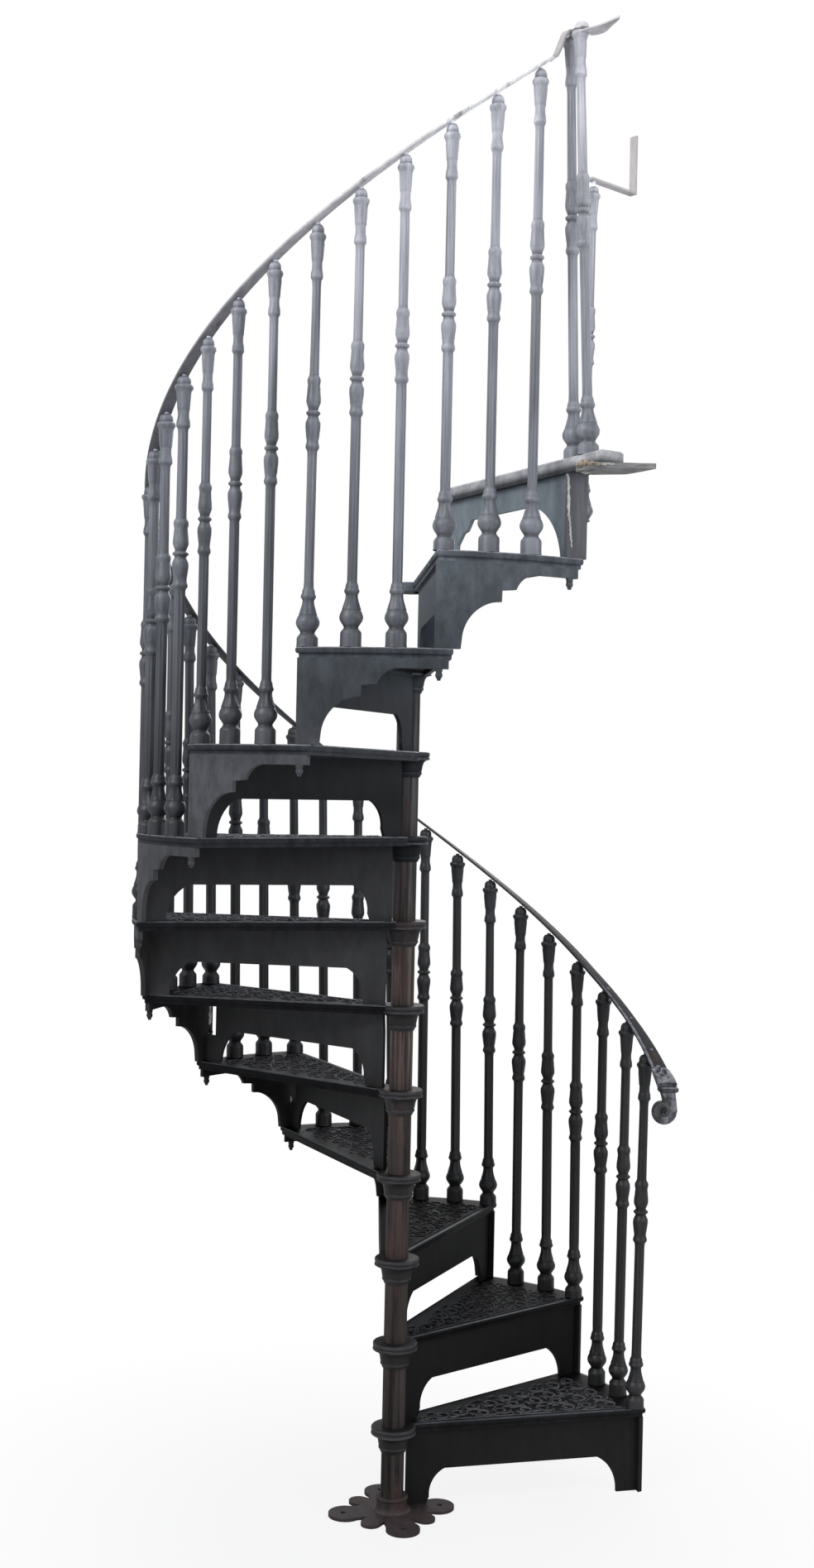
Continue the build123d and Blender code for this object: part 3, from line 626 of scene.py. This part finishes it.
def film_ring(centre, across, out, half, share, lift):
    """A raised film's section: a flat top over a share of its breadth, with its edges sunk in."""
    low, high = out * 0.001, out * lift
    return [centre - across * half - low, centre - across * half * share + high,
            centre + across * half * share + high, centre + across * half - low]


def boss(centre, turn, profile, stretch=1.0):
    """A small round head on the rail from (height, radius) pairs, stretched across the bar."""
    side, up, along = axes(turn)
    return rings_to_mesh([
        [centre + up * h + (side * cos(a) * stretch + along * sin(a)) * r for a in circle(12)]
        for h, r in profile])


rings = []
for turn in np.arange(RAIL_START, RAIL_END + 0.01, 1.0):
    side, up, _ = axes(turn)
    rings.append(bar_ring(on_rail(turn, 0.0, THICK / 2), side, up, rail_breadth(turn), THICK))
SCREWS = ((15.6, 0.004, 0.0048), (24.2, 0.002, 0.0042), (32.6, 0.0, 0.0042), (41.0, 0.0, 0.0042))
screws = [
    boss(on_rail(turn, off, THICK + 0.0002), turn,
         ((0, r), (0.0012, r * 0.9), (0.0018, r * 0.6), (0.0012, r * 0.25)))
    for turn, off, r in SCREWS
]
WORN_END = 40.0                     # where the worn inner edge runs out
stripe = []
for turn in np.arange(RAIL_START + 0.4, WORN_END, 0.8):
    side, up, _ = axes(turn)
    half = 0.0042 * min(1.0, (WORN_END - turn) / 12) * (1 + 0.25 * sin(turn * 3.1))
    centre = on_rail(turn, 0.0048 - rail_breadth(turn) / 2, THICK + 0.0006)
    stripe.append(film_ring(centre, side, up, half, 0.6, 0.0004))
patch = []
for turn in np.arange(12.4, 15.4, 0.3):
    side, up, _ = axes(turn)
    half = 0.0095 * (sin(pi * (turn - 12.2) / 3.3)) ** 0.4
    patch.append(film_ring(on_rail(turn, 0.002, THICK + 0.0008), side, up, half, 0.8, 0.0003))
piece("handrail_bar", [
    ([rings_to_mesh(rings)], rail_paint),
    (screws + [rings_to_mesh(stripe)], cast_pale),
    ([rings_to_mesh(patch)], brown),
], BARS)

# scroll at the foot of the rail: socket with its ornament, collar, neck and volute
# turn, breadth over the bar's and thickness of the socket's sections
SOCKET_RINGS = (
    (RAIL_START + 0.3, 0.001, 0.009), (RAIL_START - 0.2, 0.003, 0.012),
    (RAIL_START - 0.8, 0.004, 0.015), (RAIL_START - 1.9, 0.005, 0.018),
    (RAIL_START - 3.2, 0.005, 0.022), (SCROLL_TURN, 0.004, 0.024),
)
# how far before the bar's start and how far off its middle line the knobs of the ornament sit
ORNAMENT = ((0.2, -0.008), (0.9, 0.007), (1.8, -0.006), (2.6, 0.008), (3.4, -0.004))
KNOB = ((-0.004, 0.0066), (0.001, 0.006), (0.0035, 0.004), (0.0045, 0.001))
# height, breadth and depth of the collar's sections
COLLAR_RINGS = ((0.010, 0.040, 0.036), (0.009, 0.050, 0.042), (0.006, 0.054, 0.045),
                (0.001, 0.054, 0.045), (-0.002, 0.051, 0.042), (-0.004, 0.042, 0.036))
BACK = 0.013                        # how far the scroll sits back from the socket's end
VOLUTE_IN, VOLUTE_DOWN = 0.013, 0.056   # the volute's eye from the top of the neck
VOLUTE_TURN = 500                   # degrees that the volute winds through
EYE = [(-14, 1), (-13, 7), (13, 7), (14, 1)]

rings = []
for turn, extra, thick in SOCKET_RINGS:
    side, up, _ = axes(turn)
    centre = on_rail(turn, 0.0, thick / 2 - 0.002)
    rings.append(oval_ring(centre, side, up, rail_breadth(turn) + extra, thick, 0.45))
cast = [rings_to_mesh(rings)]
for before, off in ORNAMENT:
    turn = RAIL_START - before
    cast.append(boss(on_rail(turn, off, 0.0165), turn, KNOB, 1.3))
radial, tangent = polar(1.0, SCROLL_TURN), polar(1.0, SCROLL_TURN + 90)
neck_r, throat = rail_middle(SCROLL_TURN), rail_base(SCROLL_TURN)
top = polar(neck_r, SCROLL_TURN, throat - 0.003) - tangent * BACK
rings = [oval_ring(top + UPWARD * h, radial, tangent, w, d, 0.6) for h, w, d in COLLAR_RINGS]
cast.append(rings_to_mesh(rings))
# the path's points as (radius, height), with half the breadth and half the depth there
path = [((neck_r - 0.002, throat), 0.0215, 0.017),
        ((neck_r + 0.001, throat - 0.014), 0.0195, 0.0165),
        ((neck_r + 0.004, throat - 0.030), 0.0185, 0.016)]
for t in np.arange(31) / 30:
    around = radians(-5 - VOLUTE_TURN * t)
    reach = 0.0225 * (1 - t) + 0.0065 * t
    spot = (neck_r - VOLUTE_IN + reach * cos(around),
            throat - VOLUTE_DOWN + reach * 1.12 * sin(around))
    path.append((spot, 0.0165 * (1 - t) + 0.0060 * t, 0.016 + 0.003 * t))
points = [radial * r + UPWARD * z - tangent * BACK for (r, z), _, _ in path]
rings = []
for k, (_, half, deep) in enumerate(path):
    ahead = points[min(k + 1, len(points) - 1)] - points[max(k - 1, 0)]
    ahead /= np.linalg.norm(ahead)
    across = np.cross(tangent, ahead)
    rings.append(oval_ring(points[k], across, tangent, half * 2, deep * 2, 0.85))
cast.append(rings_to_mesh(rings[:10]))
eye, eye_faces = turned(EYE, sides=14)
centre = radial * (neck_r - VOLUTE_IN) + UPWARD * (throat - VOLUTE_DOWN) - tangent * BACK
eye = centre + eye[:, :1] * radial + eye[:, 1:2] * UPWARD + eye[:, 2:3] * tangent
# the roll and its eye take the volute's painted shade
roll = [rings_to_mesh(rings[9:]), (eye, eye_faces)]
piece("handrail_volute", [(cast, socket_paint), (roll, volute_shade_paint)],
      ["handrail_scroll"])

# rail end: strap over the two landing posts, leaf, domed head, and the twist that joins the bar
flat_x = (polar(1.0, OUT - 4.6) - UPWARD * DIP) / sqrt(1 + DIP * DIP)
flat_y = polar(1.0, OUT - 4.6 + 90)
flat_z = np.cross(flat_x, flat_y)
seat = inner_head + UPWARD * (0.0008 + RAIL_T + DIP * gap)
post_gap = gap * sqrt(1 + DIP * DIP)
STRAP = ((-0.009, 0.028), (-0.007, 0.032), (post_gap + 0.004, 0.032), (post_gap + 0.014, 0.031))
HEAD = ((0.006, 0.0185), (0.010, 0.0185), (0.0105, 0.016), (0.014, 0.0158), (0.019, 0.013),
        (0.0225, 0.008), (0.024, 0.001))
LEAF_LENGTH = 0.147


def on_strap(u, v, w):
    return seat + flat_x * u + flat_y * v + flat_z * w


rings = [bar_ring(on_strap(u, 0, 0.0035), -flat_y, flat_z, w, 0.007) for u, w in STRAP]
strap = [rings_to_mesh(rings)]
rings = []
for t in np.arange(17) / 16:
    bulge = (1 - t) ** 0.5 * (1 + 0.5 * sin(pi * min(1, t * 1.5))) * (0.92 if t < 0.05 else 1)
    half = max(0.0006, 0.0185 * bulge)
    u, cup, lift = post_gap + 0.006 + LEAF_LENGTH * t, -0.003 * sin(pi * t), 0.004 * t * t
    lift -= 0.007 * (1 - t)
    under = [(s, lift + cup * s * s + 0.0015 * (1 - s * s)) for s in np.linspace(-1, 1, 9)]
    over = [(s, w + 0.0045 * (1 - 0.6 * abs(s))) for s, w in under[::-1]]
    rings.append([on_strap(u, half * s, w) for s, w in under + over])
strap.append(rings_to_mesh(rings))
rings = [[on_strap(post_gap - 0.013 + r * cos(a), r * sin(a), h) for a in circle(20)]
         for h, r in HEAD]
piece("handrail_leaf", [(strap + [rings_to_mesh(rings)], leaf_paint)], ["rail_end"])

side, up, _ = axes(RAIL_END)
begin = on_rail(RAIL_END, 0.0, THICK / 2)
finish = on_strap(0.006, -0.014, 0.0035)
rings = []
for t in np.arange(25) / 24:
    ease = t * t * (3 - 2 * t)
    centre = begin * (1 - t) + finish * t
    centre[2] = begin[2] + (finish[2] - begin[2]) * (0.35 * t + 0.65 * ease)
    ahead = finish - begin
    ahead[2] *= 0.35 + 0.65 * 6 * t * (1 - t)
    settle = max(0, t - 0.8)
    ahead = ahead / np.linalg.norm(ahead) * (1 - settle * 2) + flat_x * settle * 0.4
    ahead /= np.linalg.norm(ahead)
    across = side * (1 - ease) + flat_x * ease * 0.9 + (UPWARD * 0.25) * sin(pi * t)
    across -= ahead * across.dot(ahead)
    across /= np.linalg.norm(across)
    rings.append(bar_ring(centre, across, np.cross(across, ahead), RAIL_W, 0.007))
piece("handrail_twist", [([rings_to_mesh(rings)], tie_paint)], ["rail_twist"])

# ------------------------------------------------------------------ treads
# the rim's section as (inset, height), mm: face, lip, dark bead and the skirt down to the plate
EDGE = [(12, -1.6), (9, -1.0), (6.6, 0), (3.8, 0), (1.6, -0.8), (0.6, -2.7), (0, -5.8), (0, -9),
        (0.8, -12), (2.6, -14), (6, -15), (6, -24), (28, -24), (28, -12)]
BELL = [(0.3, 30.3), (0.3, 53), (-0.4, 56), (-2.6, 58), (-6, 58.4), (-9.5, 57.6), (-11.5, 56),
        (-13.5, 57.4), (-16, 58), (-18.4, 56.6), (-20.5, 52), (-23, 46.5), (-28, 42.6), (-36, 40),
        (-46, 38.4), (-51, 37), (-53, 38), (-56, 38.2), (-59, 36.4), (-62, 34), (-66, 33),
        (-66, 30.3)]
TOP_HUB = [(0.3, 19.2), (0.3, 40), (-1, 42), (-22, 42), (-24, 40), (-24, 19.2)]
# painted highlight: a raised ring paler than the collar, for the bright line along its lower edge
HIGHLIGHT_RING = [(-20.4, 54), (-19.8, 57.2), (-18.8, 58.8), (-17.4, 58.8), (-16.4, 57.2)]
RUSTY_LEVELS = 7                    # collars up to this level show rust
# rows of scrolls: radius of each, the pitch aimed at, and the largest scroll
ROWS = (0.104, 0.152, 0.204, 0.260, 0.318, 0.378, 0.438, 0.498, 0.558, 0.616)
PITCH, LARGEST, SCROLL_TURNS = 0.056, 0.026, 1.25
LEAF_BENDS = (-0.9, 0.5, 1.7)       # where the leaves spring from round a scroll
SCROLL_HALF, LEAF_HALF, STEM_HALF = 0.0026, 0.0022, 0.0024      # half widths of the ridges
RIDGE_BASE, RELIEF_RISE = -0.0016, 0.0034
BORDER_Y, BORDER_R = 0.016, TREAD_R - 0.056     # the relief stays inside these


def wedge_ring(inset, depth):
    """Outline of a tread at an inset, nosing along x."""
    reach, turn = TREAD_R - inset, radians(STEP)
    lap = TREAD_LAP - inset / 2
    begin = np.arcsin(inset / reach)
    last = turn + np.arcsin(lap / reach)
    inner = 0.3 * reach
    pts = [(0.0, inset), (inner, inset), (reach * cos(begin) - 0.004, inset)]
    pts += [(reach * cos(t), reach * sin(t)) for t in np.linspace(begin + 0.004, last - 0.004, 15)]
    pts += [(inner * cos(turn) - lap * sin(turn), inner * sin(turn) + lap * cos(turn)),
            (-lap * sin(turn), lap * cos(turn))]
    return [(x, y, depth) for x, y in pts]


def ridge(line, half, rise):
    """A low moulded ridge along a line on the tread's face, fading out at both ends."""
    line = np.asarray(line, float)
    way = np.gradient(line, axis=0)
    way /= np.linalg.norm(way, axis=1)[:, None] + 1e-9
    normal = np.column_stack([-way[:, 1], way[:, 0]])
    n = len(line)
    fade = np.minimum(1.0, np.minimum(np.arange(n) + 0.6, n - 0.4 - np.arange(n)) / 2.0)
    rings = []
    for k in range(n):
        top, w = RIDGE_BASE + rise * fade[k], half * (0.5 + 0.5 * fade[k])
        section = ((-w, RIDGE_BASE), (-w * 0.35, top), (w * 0.35, top), (w, RIDGE_BASE))
        rings.append([(*(line[k] + normal[k] * off), z) for off, z in section])
    verts, faces = rings_to_mesh(rings, closed=False, caps=False)
    # painted light: a painted highlight along each ridge's top, painted shade at its feet
    return wide(verts, np.tile([-0.9, 1.0, 1.0, -0.9], n)), flipped(faces)


def spiral(centre, size, start, sense):
    t = np.linspace(0, 1, 22)
    angle = start + sense * SCROLL_TURNS * 2 * pi * t
    reach = size * (1 - t) ** 0.8 + size * 0.12 * t
    return np.column_stack([centre[0] + reach * np.cos(angle), centre[1] + reach * np.sin(angle)])


def scrollwork():
    """Lines of the scrolls, leaves and stems between nosing and riser, with their half widths."""
    lines = []
    for row, r in enumerate(ROWS):
        low, high = 0.024 / r, radians(STEP) + 0.010 / r
        count = max(1, round(r * (high - low) / PITCH))
        pitch = (high - low) / count
        size = min(LARGEST, r * pitch * 0.46)
        for k in range(count):
            mid = low + pitch * (k + 0.5)
            sense = 1 if (k + row) % 2 else -1
            centre = (r * cos(mid), r * sin(mid))
            start = mid + (pi if sense > 0 else 0) + rng.uniform(-0.3, 0.3)
            lines.append((spiral(centre, size, start, sense), SCROLL_HALF))
            for bend in LEAF_BENDS:
                a = start + sense * bend * 1.3
                base = np.array(centre) + size * 1.02 * np.array([cos(a), sin(a)])
                t = np.linspace(0, 1, 6)[:, None]
                out = np.array([cos(a + sense * 0.7), sin(a + sense * 0.7)]) * size * 0.62
                curl = np.array([-sin(a), cos(a)]) * size * 0.35 * sense
                lines.append((base + out * t + curl * t * t, LEAF_HALF))
            if k + 1 < count:
                t = np.linspace(0, 1, 9)
                angle = mid + pitch * t
                reach = r + sense * size * 0.95 * np.cos(pi * t)
                stem = np.column_stack([reach * np.cos(angle), reach * np.sin(angle)])
                lines.append((stem, STEM_HALF))
    return lines


def at_level(part, level, flip=True):
    """A part of a tread at its level; most are built with their faces inward and get flipped."""
    verts, faces = part
    verts = placed(np.asarray(verts, float), nosing(level), top_of(level))
    return verts, flipped(faces) if flip else faces


ridges = []
for line, half in scrollwork():
    inside = (line[:, 1] > BORDER_Y) & (np.hypot(line[:, 0], line[:, 1]) < BORDER_R)
    if inside.sum() > 4:
        ridges.append(ridge(line[inside], half, RELIEF_RISE))
border = np.column_stack([np.linspace(0.07, 0.655, 12), np.full(12, 0.0185)])
ridges.append(ridge(border, 0.0022, 0.0026))
relief = join(ridges)
outer_rings = np.array([wedge_ring(inset / 1000, depth / 1000) for inset, depth in EDGE])
count = outer_rings.shape[1]
step_in = [(k, (k + 1) % count, count + (k + 1) % count, count + k) for k in range(count)]
plate = (np.vstack([outer_rings[0], outer_rings[1]]), step_in + [tuple(range(count))[::-1]])
lip = rings_to_mesh(outer_rings[1:6], caps=False)
bead = rings_to_mesh(outer_rings[5:10], caps=False)
skirt = rings_to_mesh(outer_rings[9:], caps=False)
under = (outer_rings[-1], [tuple(range(count))])
highlight_ring = turned(HIGHLIGHT_RING, sides=40)
for level in range(1, COUNT + 1):
    hub = turned(BELL if level <= NEWEL_LEVELS else TOP_HUB, sides=40)
    raised = [at_level(relief, level, flip=False)]
    # each collar gets its ring of painted highlight
    if level <= NEWEL_LEVELS:
        raised.append(at_level(highlight_ring, level, flip=False))
    piece("tread_casting_%02d" % level, [
        ([at_level(part, level) for part in (plate, skirt, under, bead)], paint_top),
        (raised, relief_paint),
        # the lip carries the painted highlight of the nosing
        ([at_level(lip, level)], lip_highlight_paint),
        ([at_level(hub, level)], collar_paint if level <= RUSTY_LEVELS else paint_top),
    ], ["tread_%02d" % level])

# drops under the brackets
ACORN = [(-26, 0), (-25, 1.4), (-22, 4.4), (-19, 7), (-15, 8.4), (-12, 8.2), (-9, 6.8), (-7, 6.6),
         (-5, 8), (-3, 8.2), (-1, 7.2), (1, 6.2)]
DROP_R, DROP_TURN, DROP_DOWN = 0.692, 27.1, 0.046
drops = [turned(ACORN, polar(DROP_R, nosing(level) + DROP_TURN, top_of(level) - DROP_DOWN), 20)
         for level in range(1, COUNT + 1)]
piece("bracket_drops", [(drops, string_paint)])


# ------------------------------------------------------------------ cracks, flakes and rust
def ribbon(points, half, out_way, lift=0.0008):
    """A thin raised line of flaked paint along points, also used for a painted glint; out_way is
    the way it faces.
    """
    points = np.array(points, float)
    fine = np.linspace(0, len(points) - 1, 8 * (len(points) - 1) + 1)
    line = np.column_stack([np.interp(fine, np.arange(len(points)), points[:, i])
                            for i in range(3)])
    way = np.gradient(line, axis=0)
    rings = []
    for k, centre in enumerate(line):
        across = np.cross(way[k], out_way)
        across /= np.linalg.norm(across)
        w = half * (0.25 + 0.75 * sin(pi * (k + 0.5) / len(line)) ** 0.5) * rng.uniform(0.6, 1.3)
        centre = centre + across * rng.uniform(-0.4, 0.4) * half
        rings.append(film_ring(centre, across, out_way, w, 0.5, lift))
    return rings_to_mesh(rings)


def lump(centre, size):
    """A rounded flake or lump with an uneven skin."""
    ways = [np.array([rng.uniform(-1, 1) for _ in range(3)]) for _ in range(9)]
    rings = []
    for i in range(1, 8):
        lat = pi * i / 8
        ring = []
        for a in circle(12):
            d = np.array([sin(lat) * cos(a), sin(lat) * sin(a), cos(lat)])
            swell = sum(sin(4 * float(w.dot(d)) + 7 * float(w[0])) for w in ways)
            swell = 1 + 0.22 * swell / sqrt(len(ways))
            ring.append(np.asarray(centre) + d * swell * np.asarray(size))
        rings.append(ring)
    return rings_to_mesh(rings[::-1])


# the pale crack down the landing leg, as (direction, height) on its outer face
LEG_R = 0.6984
CRACK = ((-60.0, 2.617), (-59.5, 2.606), (-59.4, 2.5661), (-59.2, 2.5183), (-58.8, 2.4813),
         (-58.6, 2.45))
# a painted glint on the lug's front, and lumps of rust at its root as (centre, size)
LUG_GLINT = ((0.412, -0.7418, 2.6150), (0.427, -0.7418, 2.6165), (0.441, -0.7418, 2.6150))
LUG_LUMPS = (
    ((0.367, -0.690, 2.6225), (0.006, 0.011, 0.0050)),
    ((0.374, -0.704, 2.6225), (0.008, 0.011, 0.0070)),
    ((0.382, -0.722, 2.6205), (0.008, 0.011, 0.0070)),
    ((0.390, -0.738, 2.6165), (0.008, 0.011, 0.0060)),
    ((0.401, -0.742, 2.6150), (0.012, 0.011, 0.0035)),
)
# flakes on the string brackets of treads 5 and 6: (direction, height) points and half width
BRACKET_R = 0.6852
BRACKET_FLAKES = (
    (((118.02, 0.9739), (117.98, 0.9494)), 0.0030),
    (((117.1, 0.9560), (116.9, 0.9260), (116.6, 0.8990)), 0.0105),
    (((142.9, 1.2740), (142.8, 1.2300), (142.75, 1.2060)), 0.0060),
    (((142.75, 1.1840), (142.7, 1.1700)), 0.0050),
)
flakes_and_glint = [ribbon([polar(LEG_R, a, z) for a, z in CRACK], 0.0036, polar(1.0, -59.2), 0.0014)]
# painted glint: a pale line along the lug's front, where light glints through the gap under the
# landing edge
flakes_and_glint.append(ribbon(LUG_GLINT, 0.0028, np.array([0, -1.0, 0])))
flakes_and_glint.append(lump((0.3833, -0.6747, 2.609), (0.0085, 0.012, 0.0035)))
lumps = [lump(centre, size) for centre, size in LUG_LUMPS]
for points, half in BRACKET_FLAKES:
    inward = -polar(1.0, points[len(points) // 2][0])
    flakes_and_glint.append(ribbon([polar(BRACKET_R, a, z) for a, z in points], half, inward, 0.0010))
dark = lump(polar(0.682, 142.68, 1.1857), (0.0045, 0.0035, 0.010))
piece("landing_flakes", [(flakes_and_glint, flake_and_glint_paint), (lumps, rust_lump), ([dark], string_paint)])

# boss at the newel's foot
FOOT = [(8.2, 30.2), (8.4, 51), (11, 45.5), (15, 41.6), (22, 39.6), (36, 39.6), (38, 41.4),
        (41, 42.6), (44.5, 42), (46, 40), (46, 30.2)]
piece("newel_foot_ring", [([turned(FOOT, sides=40)], flange_paint)])

# ------------------------------------------------------------------ camera, lights, floor
PHOTO_HEIGHT, FOCAL, SENSOR = 1895, 2171.0, 36     # pixels, pixels and millimetres
camera = bpy.data.objects.new("camera", bpy.data.cameras.new("camera"))
scene.collection.objects.link(camera)
camera.location = (0, -4.6965, 1.900)
camera.rotation_euler = (radians(90.03), -radians(1.224), 0)
camera.data.sensor_width = SENSOR
camera.data.lens = FOCAL / PHOTO_HEIGHT * SENSOR
scene.camera = camera


def area(name, place, target, power):
    lamp = bpy.data.lights.new(name, "AREA")
    lamp.energy, lamp.size = power, 4.0
    ob = bpy.data.objects.new(name, lamp)
    scene.collection.objects.link(ob)
    ob.location = place
    ob.rotation_euler = (Vector(target) - Vector(place)).to_track_quat("-Z", "Y").to_euler()


area("key", (-4.5, -4.5, 6.0), (0, 0, 1.8), 260)
area("fill", (5.0, -3.0, 3.0), (0, 0, 1.8), 90)
area("back", (1.0, 5.0, 5.0), (0, 0, 2.0), 160)

# the world lights the stair softly and shows as white to the camera
world = bpy.data.worlds.new("studio")
scene.world = world
graph = Graph(world)
seen = graph.add("LightPath").outputs["Is Camera Ray"]
soft = graph.add("Background", {0: (0.93, 0.96, 1, 1), 1: 0.55}).outputs[0]
white = graph.add("Background", {0: (1, 1, 1, 1), 1: 1.0}).outputs[0]
shown = graph.add("MixShader", {0: seen, 1: soft, 2: white}).outputs[0]
graph.add("OutputWorld", {0: shown})

# the floor keeps the shadow near the stair and fades to white away from it
mesh = bpy.data.meshes.new("floor")
corners = [(x, y, -0.001) for x, y in ((-14, -14), (14, -14), (14, 14), (-14, 14))]
mesh.from_pydata(corners, [], [(0, 1, 2, 3)])
floor = bpy.data.objects.new("floor", mesh)
scene.collection.objects.link(floor)
mat = bpy.data.materials.new("floor")
graph = Graph(mat)
seen = graph.add("LightPath").outputs["Is Camera Ray"]
plain = graph.add("BsdfDiffuse", {0: (0.55, 0.55, 0.55, 1)}).outputs[0]
glow = graph.add("Emission", {0: (1, 1, 1, 1), 1: 1.0}).outputs[0]
spot = graph.add("TexCoord").outputs["Object"]
away = graph.add("VectorMath", {0: spot}, operation="LENGTH").outputs["Value"]
fade = graph.add("MapRange", {
    0: away, "From Min": 0.45, "From Max": 1.5, "To Min": 0.86, "To Max": 1.0,
}).outputs[0]
share = graph.add("Math", {0: seen, 1: fade}, operation="MULTIPLY").outputs[0]
shown = graph.add("MixShader", {0: share, 1: plain, 2: glow}).outputs[0]
graph.add("OutputMaterial", {0: shown})
mesh.materials.append(mat)

scene.view_settings.view_transform = "Standard"
